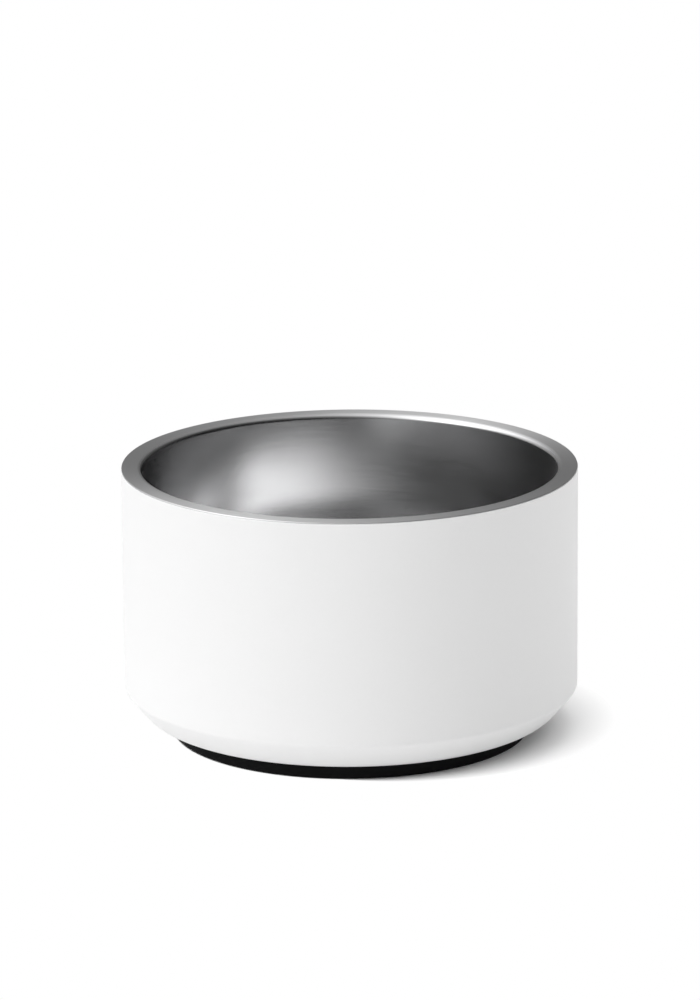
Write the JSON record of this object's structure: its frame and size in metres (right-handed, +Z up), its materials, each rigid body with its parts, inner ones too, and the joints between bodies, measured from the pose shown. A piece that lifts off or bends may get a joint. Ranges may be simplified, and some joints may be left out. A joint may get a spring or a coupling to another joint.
{
  "type": "pet bowl",
  "caption": "Round straight-sided double-walled steel feeding bowl with a bare steel inside and rim, a white coated wall chamfered to the base, and a rubber non-slip foot ring.",
  "frame": {"origin": "on the floor under the middle of the bowl", "axes": "+Z up along the bowl's axis; +X and +Y are level, and the picture looks along +Y"},
  "size_m": [0.184, 0.184, 0.11],
  "materials": {
    "bare_steel": "brushed round the axis",
    "white_coat": "satin powder coat",
    "black_rubber": "matt",
    "seal_glass": "opaque fused",
    "getter_powder": "sintered"
  },
  "bodies": {
    "root": {"inner_liner": "bare_steel", "outer_shell": "white_coat", "base_pan": "bare_steel", "port_seal": "seal_glass", "getter_pellet": "getter_powder", "getter_clip": "bare_steel", "base_cap": "bare_steel", "non_slip_ring": "black_rubber"}
  },
  "joints": []
}
